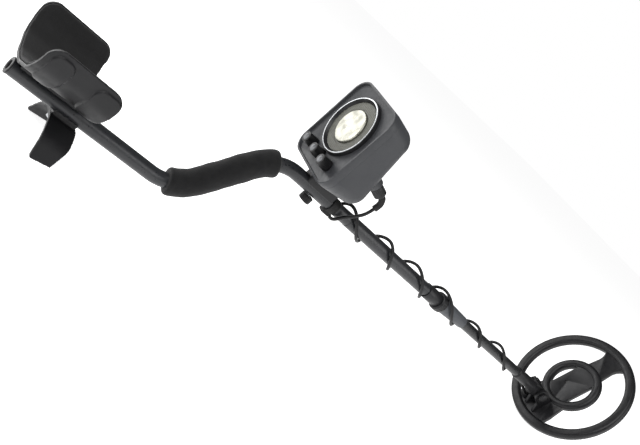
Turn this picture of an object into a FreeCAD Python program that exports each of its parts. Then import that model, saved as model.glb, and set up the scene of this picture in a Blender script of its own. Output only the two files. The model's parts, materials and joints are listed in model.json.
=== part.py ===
import FreeCAD, Part

import math
import os

V = FreeCAD.Vector

# Metal detector.  Sizes in millimetres.  The model is drawn in the stem's own frame: the origin is
# the coil's tilt pivot, +X runs along the straight stem towards the coil, +Y is the user's left and
# +Z is up from the stem.  The last step stands it on the floor.

# --- rod ---------------------------------------------------------------------------------------
rod_d = 19.0                # S-shaped rear tube
rod_wall = 1.5
stem_length = 718.0         # coil pivot to the upper corner of the S
slope_run = 67.0            # along the stem, between the two corners of the S
arm_drop = 113.0            # arm tube below the stem
arm_length = 224.0          # lower corner of the S to the rear end
bend_radius = 60.0
grip_d = 34.2
grip_low_turn = 0.68        # radians of the lower bend that the grip covers
grip_high_turn = 0.52       # radians of the upper bend that it covers
middle_d = 19.8
rod_joint_x = -577.0        # where the rear tube meets the middle tube
lower_d = 15.9
lower_wall = 1.5
lower_overlap = 100.0       # lower tube inside the middle tube
tip_cover = 40.0            # lower tube inside its tip fitting
slide_gap = 0.05            # radial clearance of parts that slide or turn in each other
seat_gap = 0.05             # radial clearance of fixed pieces fitted over each other
free_gap = 0.4              # clearance between pieces that pass without touching
joiner_reach = 60.0         # inner sleeve, each way from the rod joint
joiner_wall = 1.4
cap_length = 8.0
cap_flange = 2.0
cap_lip = 0.4

# --- arm cup and stand -------------------------------------------------------------------------
cup_rear_x = -1011.0
cup_length = 88.0
cup_half_width = 66.0
cup_height = 66.0           # wing tops above the arm tube's axis
cup_floor = 11.0            # cup's underside above the arm tube's axis
cup_wall = 4.0
cup_lobe = 2.6              # raised lobes on the outside, each side of the strap channel
channel_width = 27.0
pad_thickness = 4.0
pad_edge = 0.6              # pad's edges inside the cup's edges
wing_corner = 15.0
stand_x = -951.0            # rear edge of the stand
stand_width = 34.0
stand_half_span = 55.0
stand_drop = 44.0           # feet below the arm tube's axis
stand_wall = 4.0
foot_width = 25.0           # legs narrow from stand_width to this
foot_back = 2.0             # foot's rear edge behind the stand's
foot_round = 7.0
shoulder_drop = 22.0        # where the legs start to narrow, below the arm tube's axis
shoulder_round = 24.0
leg_round = 40.0
arch_round = 17.0
saddle_half = 8.0
arm_bolt_d = 5.0
bolt_spacing = 22.0

# --- control box -------------------------------------------------------------------------------
panel_x = -681.5            # face of the control panel, which looks back along the stem
panel_width = 112.0
panel_height = 122.0
panel_corner = 20.0
box_base = 16.0             # panel's lower edge above the stem's axis
box_depth = 57.0            # at mid height
box_lean = 10.0             # degrees that the front wall leans, so that the box is deeper at its foot
box_taper = 5.0             # each side, from the panel to the front
box_round = 20.0
box_wall = 2.6
bezel_depth = 7.0
rim_width = 2.6
rim_height = 3.5
speaker_height = 86.8       # speaker's centre above the stem's axis
speaker_ring_r = 42.0
speaker_ring_width = 3.6
speaker_ring_top_r = 41.0   # its outside narrows towards the front
speaker_ring_stand = 5.0    # above the panel
speaker_disc_r = 23.3
knob_height = 37.0          # knob row above the stem's axis
knob_pitch = 27.5
knob_d = 15.5
knob_length = 15.0
shaft_d = 6.0
connector_x = -623.0
connector_y = -30.0
connector_z = 63.0
connector_drop = 14.0       # degrees below the stem's direction
plug_d = 17.0
plug_length = 15.0
bracket_x = -672.0
bracket_length = 52.0
bracket_width = 19.0
bracket_screw_y = 6.6
bracket_screw_tip = 9.4
clamp_x = -648.0
clamp_knob_d = 17.0
clamp_knob_length = 9.0

# --- twist lock --------------------------------------------------------------------------------
lock_x = -350.0             # rear face of the lock ring
sleeve_length = 32.0
sleeve_d = 22.6
ring_length = 15.0
ring_d = 29.0
nut_length = 62.0
nut_d = 24.0
nut_tip_d = 19.0
spigot_length = 24.0
collet_length = 22.0
spigot_d = 18.6

# --- coil --------------------------------------------------------------------------------------
coil_r = 105.6
rim_width_coil = 17.0
rim_thickness = 15.0
rim_round = 5.5
hub_r = 51.0
hub_ring_width = 14.0
plate_thickness = 8.0
plate_top = 4.0             # above the rim's mid plane; the two shells meet at this height
spoke_half = 17.0
rear_plate_half = 38.0
slot_inset = 24.0           # half width of the band between the two crescent slots
pivot_back = 60.9           # tilt pivot behind the coil's centre
pivot_height = 31.3         # tilt pivot above the rim's mid plane
coil_tilt = 73.1            # degrees between the coil's plane and the stem
ear_wall = 5.0
ear_r = 12.0
tongue_half = 6.0
tongue_r = 11.0
washer = 2.0
pivot_bolt_d = 8.0
tip_d = 19.5
tip_length = 86.0
coil_knob_d = 28.0
coil_knob_length = 11.0

# --- cable -------------------------------------------------------------------------------------
cable_d = 4.6

stem_rear = V(-stem_length, 0, 0)
slope_foot = V(-stem_length - slope_run, 0, -arm_drop)
arm_rear = slope_foot - V(arm_length, 0, 0)
X, Y, Z = V(1, 0, 0), V(0, 1, 0), V(0, 0, 1)


# --- helpers -----------------------------------------------------------------------------------
def unit(vector):
    """A new vector of length one."""
    return V(vector).normalize()


def corner_arc(before, corner, after, radius):
    """Tangent arc that rounds one corner; with no radius it fills most of the shorter run."""
    into, out = unit(corner - before), unit(after - corner)
    half_turn = into.getAngle(out) / 2
    shorter = min(before.distanceToPoint(corner), after.distanceToPoint(corner))
    if radius is None:
        radius = 0.45 * shorter / math.tan(half_turn)
    trim = radius * math.tan(half_turn)
    inside = unit(out - into) * (radius / math.cos(half_turn) - radius)
    return Part.Arc(corner - into * trim, corner + inside, corner + out * trim).toShape()


def join(arcs, closed, first=None, last=None):
    """Wire of arcs joined by straight lines."""
    edges, here = [], first
    if closed:
        here = arcs[-1].valueAt(arcs[-1].LastParameter)
    for arc in arcs:
        start = arc.valueAt(arc.FirstParameter)
        if here.distanceToPoint(start) > 1e-6:
            edges.append(Part.LineSegment(here, start).toShape())
        edges.append(arc)
        here = arc.valueAt(arc.LastParameter)
    if last is not None:
        edges.append(Part.LineSegment(here, last).toShape())
    return Part.Wire(edges)


def route(points, radius=None):
    """Open path of straight runs with tangent arcs at its corners."""
    arcs = [corner_arc(a, b, c, radius) for a, b, c in zip(points, points[1:], points[2:])]
    return join(arcs, False, points[0], points[-1])


def rounded_loop(points, radius):
    """Closed outline with rounded corners."""
    count = len(points)
    radii = radius if isinstance(radius, (list, tuple)) else [radius] * count
    arcs = []
    for i in range(count):
        arcs.append(corner_arc(points[i - 1], points[i], points[(i + 1) % count], radii[i]))
    return join(arcs, True)


def pipe(spine, radius):
    """Round bar along a path."""
    edge = spine.Edges[0]
    start = edge.valueAt(edge.FirstParameter)
    circle = Part.Wire(Part.makeCircle(radius, start, edge.tangentAt(edge.FirstParameter)))
    return Part.Wire(spine.Edges).makePipeShell([circle], True, False)


def rod(start, direction, radius, length):
    """Solid cylinder."""
    return Part.makeCylinder(radius, length, start, direction)


def ring(start, direction, outer, inner, length):
    """Hollow cylinder."""
    return rod(start, direction, outer, length).cut(rod(start - direction, direction, inner, length + 2))


def cone(start, direction, first, second, length):
    """Tapered cylinder."""
    return Part.makeCone(first, second, length, start, direction)


def prism(outline, vector):
    """Solid swept straight from a closed outline."""
    return Part.Face(outline).extrude(vector)


def slab(low, high):
    """Box between two corners."""
    size = high - low
    return Part.makeBox(size.x, size.y, size.z, low)


def rounded_slab(x, length, width, height, corner, middle):
    """Plate across the stem with rounded corners."""
    return prism(panel_outline(x, width, height, corner, middle), V(length, 0, 0))


def panel_outline(x, width, height, corner, middle):
    """Rounded rectangle in a plane across the stem."""
    half_w, half_h = width / 2, height / 2
    points = [V(x, -half_w, middle - half_h), V(x, half_w, middle - half_h),
              V(x, half_w, middle + half_h), V(x, -half_w, middle + half_h)]
    return rounded_loop(points, corner)


def fused(shapes):
    """One solid from touching or crossing solids."""
    return shapes[0].multiFuse(list(shapes[1:])).removeSplitter()


def group(shapes):
    """Several separate solids in one node."""
    return Part.makeCompound(shapes)


def turned(shape, angle, centre, axis):
    """A copy turned about an axis."""
    copy = shape.copy()
    copy.rotate(centre, axis, angle)
    return copy


def upright_edges(shape):
    """Straight edges that run up and down."""
    return [e for e in shape.Edges if abs(e.tangentAt(e.FirstParameter).z) > 0.999]


# --- rod pieces --------------------------------------------------------------------------------
rod_r, middle_r, lower_r = rod_d / 2, middle_d / 2, lower_d / 2
bore_r = rod_r - rod_wall
joiner_r = bore_r - seat_gap
s_path = route([arm_rear, slope_foot, stem_rear, V(rod_joint_x, 0, 0)], bend_radius)
clamp_hole_r = 2.6
button_x = rod_joint_x + 24.0
button_r = 3.0


def s_rod():
    tube = pipe(s_path, rod_r).cut(pipe(s_path, bore_r))
    screw_hole = rod(V(clamp_x, 0, -rod_d), Z, clamp_hole_r, 2 * rod_d)
    return tube.cut(screw_hole).cut(arm_bolt_holes())


def rear_end_cap():
    plug = ring(arm_rear, X, bore_r - seat_gap, bore_r - 2.5, cap_length)
    lip = ring(arm_rear - X * cap_flange, X, rod_r + cap_lip, bore_r - 2.5, cap_flange)
    return fused([plug, lip])


def foam_grip():
    """Foam sleeve from the lower bend, up the slope, to the start of the upper bend."""
    slope = unit(stem_rear - slope_foot)
    half_turn = X.getAngle(slope) / 2
    trim = bend_radius * math.tan(half_turn)
    inside = bend_radius / math.cos(half_turn) - bend_radius
    toward_low, toward_high = unit(slope - X), unit(X - slope)
    lower_start, lower_end = slope_foot - X * trim, slope_foot + slope * trim
    upper_start, upper_end = stem_rear - slope * trim, stem_rear + X * trim
    lower_arc = Part.Arc(lower_start, slope_foot + toward_low * inside, lower_end).toShape()
    upper_arc = Part.Arc(upper_start, stem_rear + toward_high * inside, upper_end).toShape()
    first = lower_arc.ParameterRange
    second = upper_arc.ParameterRange
    half_lower = lower_arc.Curve.toShape(first[1] - grip_low_turn, first[1])
    half_upper = upper_arc.Curve.toShape(second[0], second[0] + grip_high_turn)
    line = Part.LineSegment(lower_end, upper_start).toShape()
    spine = Part.Wire([half_lower, line, half_upper])
    return pipe(spine, grip_d / 2).cut(pipe(spine, rod_r + seat_gap))




def middle_tube():
    length = lock_x - 2.0 - rod_joint_x
    tube = ring(V(rod_joint_x, 0, 0), X, middle_r, lower_r + slide_gap, length)
    return tube.cut(rod(V(button_x, 0, 0), Y, button_r + slide_gap, middle_d))


def rod_joiner():
    tube = ring(V(rod_joint_x - joiner_reach, 0, 0), X, joiner_r, joiner_r - joiner_wall, 2 * joiner_reach)
    return tube.cut(rod(V(button_x, 0, 0), Y, button_r + slide_gap, middle_d))


button_stand = 2.6          # button above the tube's surface
button_chamfer = 1.0
spring_half_width = 2.5
spring_thickness = 0.6
spring_length = 26.0


def on_left(shape):
    """Turns a shape drawn underneath the stem to its left side."""
    return turned(shape, 90, V(0, 0, 0), X)


def snap_button():
    """Round pin with a domed end."""
    inner = -(joiner_r - joiner_wall - 0.3)
    outer = -(middle_r + button_stand)
    pin = rod(V(button_x, 0, outer + button_chamfer), Z, button_r, inner - outer - button_chamfer)
    dome = cone(V(button_x, 0, outer), Z, button_r - button_chamfer, button_r, button_chamfer)
    return on_left(fused([pin, dome]))


def button_spring():
    """Folded strip that pushes the button out."""
    top = joiner_r - joiner_wall - 1.9
    low = -(joiner_r - joiner_wall - 1.3)
    front = button_x - button_r - 0.5
    points = [V(front, -spring_half_width, low), V(front - spring_length, -spring_half_width, 0),
              V(front, -spring_half_width, top)]
    strip = route(points, 3.0).makeOffset2D(spring_thickness, 0, True, True, False)
    return on_left(strip.extrude(V(0, 2 * spring_half_width, 0)))


# --- arm cup -----------------------------------------------------------------------------------
def cup_path():
    """Underside of the cup across the arm: floor, rising sides and upright wings."""
    low = cup_floor - arm_drop
    top = cup_height - arm_drop
    width = cup_half_width
    half = [V(0, width, top), V(0, width - 3, top - 24), V(0, width * 0.72, low + 12), V(0, 12, low)]
    points = half + [V(0, -p.y, p.z) for p in reversed(half)]
    return Part.Wire(open_rounded(points, [24.0, 30.0, 45.0, 45.0, 30.0, 24.0]))


def offset_path(path, distance):
    """Path moved sideways, towards the arm when positive."""
    if abs(distance) < 1e-9:
        return path
    moved = path.makeOffset2D(distance, 0, False, True, True)
    return Part.Wire(Part.sortEdges(moved.Edges)[0])


def ends_of(path):
    edges = Part.sortEdges(path.Edges)[0]
    first, last = edges[0], edges[-1]
    return [first.valueAt(first.FirstParameter), last.valueAt(last.LastParameter)]


def sheet_between(first, second, x, length):
    """Curved sheet between two open paths, swept along the tube."""
    a, b = ends_of(first), ends_of(second)
    if a[0].distanceToPoint(b[0]) > a[0].distanceToPoint(b[1]):
        b.reverse()
    caps = [Part.LineSegment(a[0], b[0]).toShape(), Part.LineSegment(a[1], b[1]).toShape()]
    outline = Part.Wire(Part.sortEdges(first.Edges + second.Edges + caps)[0])
    face = Part.Face(outline)
    face.translate(V(x, 0, 0))
    return face.extrude(V(length, 0, 0))


def cup_shell(lift, thickness):
    """Curved sheet along the arm tube, from lift to lift + thickness inside the cup's underside."""
    path = cup_path()
    return sheet_between(offset_path(path, lift), offset_path(path, lift + thickness),
                         cup_rear_x - 5, cup_length + 10)


def open_rounded(points, radii):
    """Edges of an open path with its own radius at each corner."""
    arcs = [corner_arc(a, b, c, r) for a, b, c, r in zip(points, points[1:], points[2:], radii)]
    return join(arcs, False, points[0], points[-1]).Edges


def side_outline(rear, front, low, high, radii):
    """Outline seen from the side, with rounded corners, as a bar right across the detector."""
    y = -2 * cup_half_width
    points = [V(rear, y, low), V(front, y, low), V(front, y, high), V(rear, y, high)]
    return prism(rounded_loop(points, radii), V(0, 4 * cup_half_width, 0))


def cup_trim(extra=0.0):
    """Side outline of the cup: rounded wing corners."""
    low = -arm_drop
    high = -arm_drop + cup_height
    return side_outline(cup_rear_x - extra, cup_rear_x + cup_length + extra, low, high,
                        [2.0, wing_corner, wing_corner, wing_corner])


def arm_bolt_holes():
    """Clearance holes for the two bolts that pass through tube, cup and stand."""
    holes = [rod(V(x, 0, -arm_drop - 30), Z, arm_bolt_d / 2 + 0.15, 60) for x in arm_bolt_places()]
    return group(holes)


def arm_bolt_places():
    middle = stand_x + stand_width / 2
    return [middle - bolt_spacing / 2, middle + bolt_spacing / 2]


def arm_cup():
    shell = cup_shell(0.0, cup_wall).common(cup_trim())
    saddle_top = -arm_drop + cup_floor + 1.5
    saddle = slab(V(cup_rear_x + 8, -saddle_half, -arm_drop + 5),
                  V(cup_rear_x + cup_length - 8, saddle_half, saddle_top))
    saddle = saddle.cut(rod(arm_rear, X, rod_r + seat_gap, arm_length))
    lobes = cup_lobes()
    body = fused([shell, saddle] + lobes)
    return body.cut(arm_bolt_holes())


def cup_lobes():
    """Raised lobes on both wings, in front of and behind the strap channel."""
    skin = cup_shell(-cup_lobe, cup_lobe + 1.0)
    middle = cup_rear_x + cup_length / 2
    low, high = -arm_drop + 19, -arm_drop + cup_height - 5
    spans = [(cup_rear_x + 6, middle - channel_width / 2), (middle + channel_width / 2,
             cup_rear_x + cup_length - 1)]
    lobes = []
    for rear, front in spans:
        block = side_outline(rear, front, low, high, 10.0)
        for side in (1, -1):
            half = slab(V(rear - 1, 0, low - 1), V(front + 1, side * 2 * cup_half_width, high + 1)) \
                if side > 0 else slab(V(rear - 1, -2 * cup_half_width, low - 1), V(front + 1, 0, high + 1))
            lobes.append(skin.common(block).common(half))
    return lobes


def cup_padding():
    pad = cup_shell(cup_wall, pad_thickness)
    outline = side_outline(cup_rear_x + pad_edge, cup_rear_x + cup_length - pad_edge, -arm_drop,
                           -arm_drop + cup_height - pad_edge, [2.0, wing_corner, wing_corner, wing_corner])
    heads = [rod(V(x, 0, -arm_drop), Z, 6.0, 40) for x in arm_bolt_places()]
    return pad.common(outline).cut(group(heads))


def cup_bolts():
    """Round-headed bolts, with their nuts under the stand."""
    bolts = []
    top = -arm_drop + cup_floor + cup_wall + 0.3
    bottom = stand_under
    for x in arm_bolt_places():
        shank = rod(V(x, 0, bottom - 4.5), Z, arm_bolt_d / 2, top - bottom + 4.5)
        head = cone(V(x, 0, top), Z, 5.0, 3.4, 2.6)
        bolts.append(fused([shank, head]))
    return group(bolts)


def cup_nuts():
    bottom = stand_under - seat_gap
    nuts = []
    for x in arm_bolt_places():
        points = [V(x + 4.6 * math.cos(math.radians(60 * k)), 4.6 * math.sin(math.radians(60 * k)), bottom)
                  for k in range(6)]
        nut = prism(Part.makePolygon(points + points[:1]), V(0, 0, -4.0))
        nuts.append(nut.cut(rod(V(x, 0, bottom - 6), Z, arm_bolt_d / 2 + seat_gap, 8)))
    return group(nuts)


stand_top = -arm_drop - rod_r - 1.0
stand_under = stand_top - 1.0 - stand_wall
sole = V(stand_x + stand_width / 2, 0, -arm_drop - stand_drop)


def stand():
    """Inverted saddle with two spread legs that end in flat soles."""
    span = stand_half_span
    half = [V(0, span + 5, sole.z - 8), V(0, span - arch_round, sole.z + 20), V(0, 15, stand_top - 1.0)]
    path = Part.Wire(open_rounded(half + [V(0, -p.y, p.z) for p in reversed(half)],
                                  [leg_round, arch_round, arch_round, leg_round]))
    legs = sheet_between(path, offset_path(path, -stand_wall), stand_x, stand_width)
    saddle = slab(V(stand_x + 2, -saddle_half, stand_top - 2.5),
                  V(stand_x + stand_width - 2, saddle_half, -arm_drop - 5))
    saddle = saddle.cut(rod(arm_rear, X, rod_r + seat_gap, arm_length))
    below = slab(V(-100, -100, -60), V(100, 100, 0))
    below.rotate(V(0, 0, 0), Y, -floor_pitch())
    below.translate(sole)
    return fused([legs.common(leg_outline()), saddle]).cut(arm_bolt_holes()).cut(below)


def leg_outline():
    """Side view of the legs: the front edge leans back to a narrower, rounded foot."""
    front = stand_x + stand_width
    top, low = stand_top + 40, sole.z - 3
    side, shoulder = -100, -arm_drop - shoulder_drop
    points = [V(stand_x - foot_back, side, low), V(stand_x - foot_back + foot_width, side, low),
              V(front, side, shoulder), V(front, side, top), V(stand_x, side, top), V(stand_x, side, shoulder)]
    corners = [foot_round, foot_round, shoulder_round, 3.0, 3.0, shoulder_round]
    return prism(rounded_loop(points, corners), V(0, -2 * side, 0))


# --- control box -------------------------------------------------------------------------------
box_middle = box_base + panel_height / 2
split_x = panel_x + bezel_depth
box_front = panel_x + box_depth


def box_solid(inset):
    """Rear shell's outer form, or its hollow when inset by the wall."""
    start, end = split_x, box_front - inset
    wide, tall = panel_width - 2 * inset, panel_height - 2 * inset
    corner = panel_corner - inset
    front = panel_outline(end, wide - 2 * box_taper, tall - 2 * box_taper, corner, box_middle)
    block = Part.makeLoft([panel_outline(start, wide, tall, corner, box_middle), leaned(front)], True, True)
    edges = [e for e in block.Edges if abs(leaned(e, -1).BoundBox.XMin - box_front + inset) < 1e-2]
    return block.makeFillet(box_round - inset, edges)


def leaned(shape, way=1):
    """Turns a shape with the front wall, about that wall's middle line."""
    return turned(shape, -way * box_lean, V(box_front, 0, box_middle), Y)


connector_dir = V(math.cos(math.radians(connector_drop)), 0, -math.sin(math.radians(connector_drop)))
connector_root = V(connector_x, connector_y, connector_z)
socket_r = plug_d / 2 - 0.6
boss_r = plug_d / 2 + 2.0
boss_length = 8.0
door_width, door_height, door_z = 44.0, 46.0, 84.0
door_wall = 2.4


def door_space(gap):
    """Battery door's place in the front wall; its lower edge is round, so it can swing.

    With a gap it is the opening, cut back under the hinge so that the door swings past level.
    """
    low = V(box_front - door_wall, -door_width / 2 - gap + 12, door_z - door_height / 2)
    high = V(box_front, door_width / 2 + gap + 12, door_z + door_height / 2 + gap)
    plate = slab(low, high)
    edge = rod(V(box_front - door_wall / 2, low.y, low.z), Y, door_wall / 2 + gap, high.y - low.y)
    if gap:
        plate = slab(low - V(1, 0, door_wall / 2 + gap + 0.8), high + V(1, 0, 0))
        plate = plate.cut(slab(low - V(2, 1, 10), V(low.x + door_wall / 2, high.y + 1, low.z)))
    return leaned(fused([plate, edge]))


def housing_rear():
    shell = box_solid(0.0).cut(box_solid(box_wall))
    boss = rod(connector_root - connector_dir * 6, connector_dir, boss_r, boss_length + 6)
    inside = box_solid(box_wall)
    shell = fused([shell, boss.cut(inside)])
    shell = shell.cut(rod(connector_root - connector_dir * 20, connector_dir, socket_r + seat_gap, 40))
    shell = shell.cut(door_space(free_gap))
    for spot in bracket_screw_spots():
        shell = shell.cut(rod(spot - Z * 10, Z, 1.7, 20))
    return shell


def housing_front():
    """Control panel with a raised rim and a short skirt."""
    tray = rounded_slab(panel_x, bezel_depth, panel_width, panel_height, panel_corner, box_middle)
    hollow = rounded_slab(panel_x + box_wall, bezel_depth, panel_width - 2 * box_wall,
                          panel_height - 2 * box_wall, panel_corner - box_wall, box_middle)
    rim = rounded_slab(panel_x - rim_height, rim_height, panel_width, panel_height, panel_corner, box_middle)
    recess = rounded_slab(panel_x - rim_height - 1, rim_height + 1, panel_width - 2 * rim_width,
                          panel_height - 2 * rim_width, panel_corner - rim_width, box_middle)
    panel = fused([tray.cut(hollow), rim.cut(recess)])
    panel = panel.cut(rod(V(panel_x - 5, 0, speaker_height), X, speaker_ring_r - speaker_ring_width, 20))
    for place in knob_places():
        panel = panel.cut(rod(place - X * 5, X, bushing_r + 0.15, 20))
    return panel


def knob_places():
    return [V(panel_x, side * knob_pitch, knob_height) for side in (1, 0, -1)]


bushing_r = 3.5
shaft_r = shaft_d / 2
knob_r = knob_d / 2
cap_r = knob_r - 3.4
knob_gap = 1.0


def control_knob(place):
    """Ribbed knob with a bored hub."""
    back = place - X * knob_gap
    body = cone(back - X * knob_length, X, knob_r - 0.9, knob_r, knob_length)
    grooves = []
    for k in range(12):
        angle = math.radians(30 * k)
        at = back + V(0, math.cos(angle), math.sin(angle)) * (knob_r + 0.35)
        grooves.append(rod(at - X * (knob_length + 1), X, 0.9, knob_length - 2))
    bore = rod(back - X * (knob_length - 3), X, shaft_r + seat_gap, knob_length)
    hollow = rod(back - X * 3.2, X, bushing_r + 2.4, 4)
    face = rod(back - X * (knob_length + 1), X, cap_r + seat_gap, 1.8)
    return body.cut(group(grooves)).cut(bore).cut(hollow).cut(face)


def knob_cap(place):
    """Light disc let into the knob's face, with a pointer rib."""
    start = place - X * (knob_gap + knob_length + 0.4)
    disc = rod(start, X, cap_r, 1.1)
    pointer = slab(start + V(-0.8, -0.7, 0.5), start + V(0.3, 0.7, cap_r - 0.3))
    return fused([disc, pointer])


def knob_shaft(place):
    return rod(place - X * (knob_gap + knob_length - 3.5), X, shaft_r, knob_gap + knob_length - 3.5 + 12)


def potentiometers():
    pots = []
    for place in knob_places():
        bushing = ring(place - X * 0.6, X, bushing_r, shaft_r + slide_gap, box_wall + 3.6)
        can = ring(place + X * (box_wall + 3.0), X, 8.0, shaft_r + slide_gap, 8.0)
        end = rod(place + X * (box_wall + 10.9), X, 8.0, 1.2)
        pots.append(fused([bushing, can, end.cut(rod(place, X, shaft_r + slide_gap, box_wall + 11.5))]))
    return group(pots)


def speaker_ring():
    """Bezel that stands proud of the panel, with a sloping outer wall."""
    inner = speaker_ring_r - speaker_ring_width
    start = V(panel_x - speaker_ring_stand, 0, speaker_height)
    wall = cone(start, X, speaker_ring_top_r, speaker_ring_r, speaker_ring_stand)
    wall = wall.cut(rod(start - X, X, inner - 2.4, speaker_ring_stand + 2))
    dish = cone(start - X * 0.01, X, inner + 0.4, inner - 2.4, speaker_ring_stand)
    skirt = ring(start + X * (speaker_ring_stand - 0.1), X, inner - 0.1, inner - 2.4, 4.0)
    return fused([wall.cut(dish), skirt])


def speaker_grille():
    """Perforated ring between the trim and the centre disc."""
    outer = speaker_ring_r - speaker_ring_width - 2.55
    start = V(panel_x - 1.0, 0, speaker_height)
    return ring(start, X, outer, speaker_disc_r + free_gap, 1.2)


def speaker_disc():
    """Shallow dome in the middle of the speaker."""
    start = V(panel_x - 4.0, 0, speaker_height)
    base = rod(start, X, speaker_disc_r, 5.6)
    return base.makeFillet(1.4, [e for e in base.Edges if abs(e.BoundBox.XMax - start.x) < 1e-6])


def speaker_frame():
    """Pressed steel basket behind the panel."""
    x = panel_x + box_wall + 4.6
    flange = ring(V(x, 0, speaker_height), X, 40.0, 33.0, 1.6)
    wall = cone(V(x + 1.5, 0, speaker_height), X, 35.0, 20.0, 9.0)
    hollow = cone(V(x + 1.4, 0, speaker_height), X, 33.4, 18.4, 9.2)
    return fused([flange, wall.cut(hollow)])


def speaker_cone():
    x = panel_x + box_wall + 5.4
    outside = cone(V(x, 0, speaker_height), X, 31.5, 11.0, 7.0)
    return outside.cut(cone(V(x - 0.01, 0, speaker_height), X, 30.7, 10.2, 7.02))


def speaker_magnet():
    x = panel_x + box_wall + 15.1
    return rod(V(x, 0, speaker_height), X, 20.0, 8.0)


def circuit_board():
    x = panel_x + box_wall + 26.0
    low, high = box_base + 12, box_base + panel_height - 16
    board = slab(V(x, -40, low), V(x + 1.6, 40, high))
    chips = [slab(V(x - 2.2, y, z), V(x, y + 12, z + 8)) for y in (-28, -6, 16) for z in (30, 46)]
    return fused([board] + chips)


cell_r = 7.1
cell_length = 48.0


def batteries():
    """Two AA cells side by side behind the door."""
    x = box_front - box_wall - cell_r - 1.5
    cells = [rod(V(x, y, door_z - cell_length / 2), Z, cell_r, cell_length) for y in (-8.0, 8.0)]
    return leaned(group(cells))


def battery_holder():
    """Tray behind the cells with a shelf under them."""
    low = V(box_front - box_wall - 2 * cell_r - 4.0, -17.0, door_z - cell_length / 2 - 3.0)
    tray = slab(low, low + V(1.6, 34.0, cell_length + 6.0))
    shelf = slab(low, low + V(15.0, 34.0, 2.5))
    return leaned(fused([tray, shelf]))


def battery_door():
    return door_space(0.0)


def bracket_screw_places():
    return [bracket_x + 8, bracket_x + bracket_length - 18]


def box_bracket():
    """Saddle between the stem and the box, with a boss for the clamp screw."""
    block = slab(V(bracket_x, -bracket_width / 2, 3.0),
                 V(bracket_x + bracket_length, bracket_width / 2, box_base + box_taper + 2))
    block = block.makeFillet(3.0, upright_edges(block))
    block = block.cut(pipe(s_path, rod_r + seat_gap)).cut(box_solid(-0.05))
    block = block.cut(rod(V(clamp_x, 0, 0), Z, 2.05, 30))
    for spot in bracket_screw_spots():
        block = block.cut(rod(V(spot.x, spot.y, bracket_screw_tip - 0.5), Z, 1.5 + seat_gap, 20))
    return block


def bracket_screw_spots():
    """Screw axes, each with the height of the box's sloping floor there."""
    slope = box_taper / (box_front - split_x)
    return [V(x, y, box_base + slope * (x - split_x) + box_wall)
            for x in bracket_screw_places() for y in (-bracket_screw_y, bracket_screw_y)]


def bracket_screws():
    """Driven down from inside the box into the bracket."""
    screws = []
    for spot in bracket_screw_spots():
        head = rod(spot + Z * 0.5, Z, 2.9, 2.2)
        shank = rod(V(spot.x, spot.y, bracket_screw_tip), Z, 1.5, spot.z + 1.0 - bracket_screw_tip)
        screws.append(fused([shank, head]))
    return group(screws)


def clamp_screw():
    """Steel screw up through the stem into the bracket."""
    low = -rod_r - 1.2 - clamp_knob_length + 2
    return rod(V(clamp_x, 0, low), Z, 2.0, box_base - 2.5 - low)


def clamp_knob():
    """Knurled thumb knob under the stem."""
    low = -rod_r - 1.2 - clamp_knob_length
    body = rod(V(clamp_x, 0, low), Z, clamp_knob_d / 2, clamp_knob_length)
    body = body.makeFillet(1.2, [e for e in body.Edges if e.Length > 20 and e.BoundBox.ZLength < 1e-6])
    grooves = []
    for k in range(16):
        angle = math.radians(22.5 * k)
        at = V(clamp_x + (clamp_knob_d / 2 + 0.3) * math.cos(angle),
               (clamp_knob_d / 2 + 0.3) * math.sin(angle), low - 1)
        grooves.append(rod(at, Z, 0.9, clamp_knob_length + 2))
    body = body.cut(group(grooves))
    return body.cut(rod(V(clamp_x, 0, low + 2), Z, 2.0 + seat_gap, clamp_knob_length))


# --- connector ---------------------------------------------------------------------------------
def along(distance):
    """Point on the connector's axis."""
    return connector_root + connector_dir * distance


def connector_socket():
    body = ring(along(-9), connector_dir, socket_r, socket_r - 1.6, 9 + boss_length + 1.5)
    back = rod(along(-9), connector_dir, socket_r - 0.5, 2.0)
    return fused([body, back])


def plug_nut():
    """Knurled coupling ring over the socket's nose."""
    start = along(boss_length + 2.0)
    body = ring(start, connector_dir, plug_d / 2, plug_d / 2 - 1.9, plug_length)
    side = V(0, 1, 0)
    up = connector_dir.cross(side)
    grooves = []
    for k in range(20):
        angle = math.radians(18 * k)
        at = start + (side * math.cos(angle) + up * math.sin(angle)) * (plug_d / 2 + 0.25)
        grooves.append(rod(at + connector_dir * 2.5, connector_dir, 0.6, plug_length - 5))
    return body.cut(group(grooves))


plug_body_r = plug_d / 2 - 1.9 - slide_gap


def connector_plug():
    start = along(boss_length + 2.6)
    body = rod(start, connector_dir, plug_body_r, plug_length + 1.0)
    neck = cone(start + connector_dir * (plug_length + 0.9), connector_dir, plug_body_r, 4.6, 3.0)
    return fused([body, neck])


# --- cable -------------------------------------------------------------------------------------
# Turns round the stem, as (along the stem, quarter, distance from the axis).  Quarters go
# bottom, left, top, right, and the cable moves forward as it winds.
cable_r = cable_d / 2
stem_turns = [(-600, -40, 14.2), (-601, -90, 13.6), (-596, 180, 14.0), (-587, 90, 18.4),
              (-566, 0, 14.2), (-537, -90, 14.2), (-517, 180, 14.2), (-498, 90, 18.2),
              (-485, 0, 14.2), (-462, -90, 15.4), (-446, 180, 14.2), (-428, 90, 19.4),
              (-402, 0, 14.4), (-378, -90, 15.4)]
lower_turns = [(-364, 180, 16.2), (-350, 90, 20.6), (-318, 0, 16.0),
               (-284, -90, 14.4), (-262, 180, 12.6), (-243, 90, 13.4), (-226, 0, 12.0),
               (-199, -90, 12.0), (-182, 180, 12.0), (-167, 90, 15.6), (-144, 0, 12.0),
               (-112, -90, 13.4)]
gland_x, gland_y = -78.0, 22.0


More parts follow.
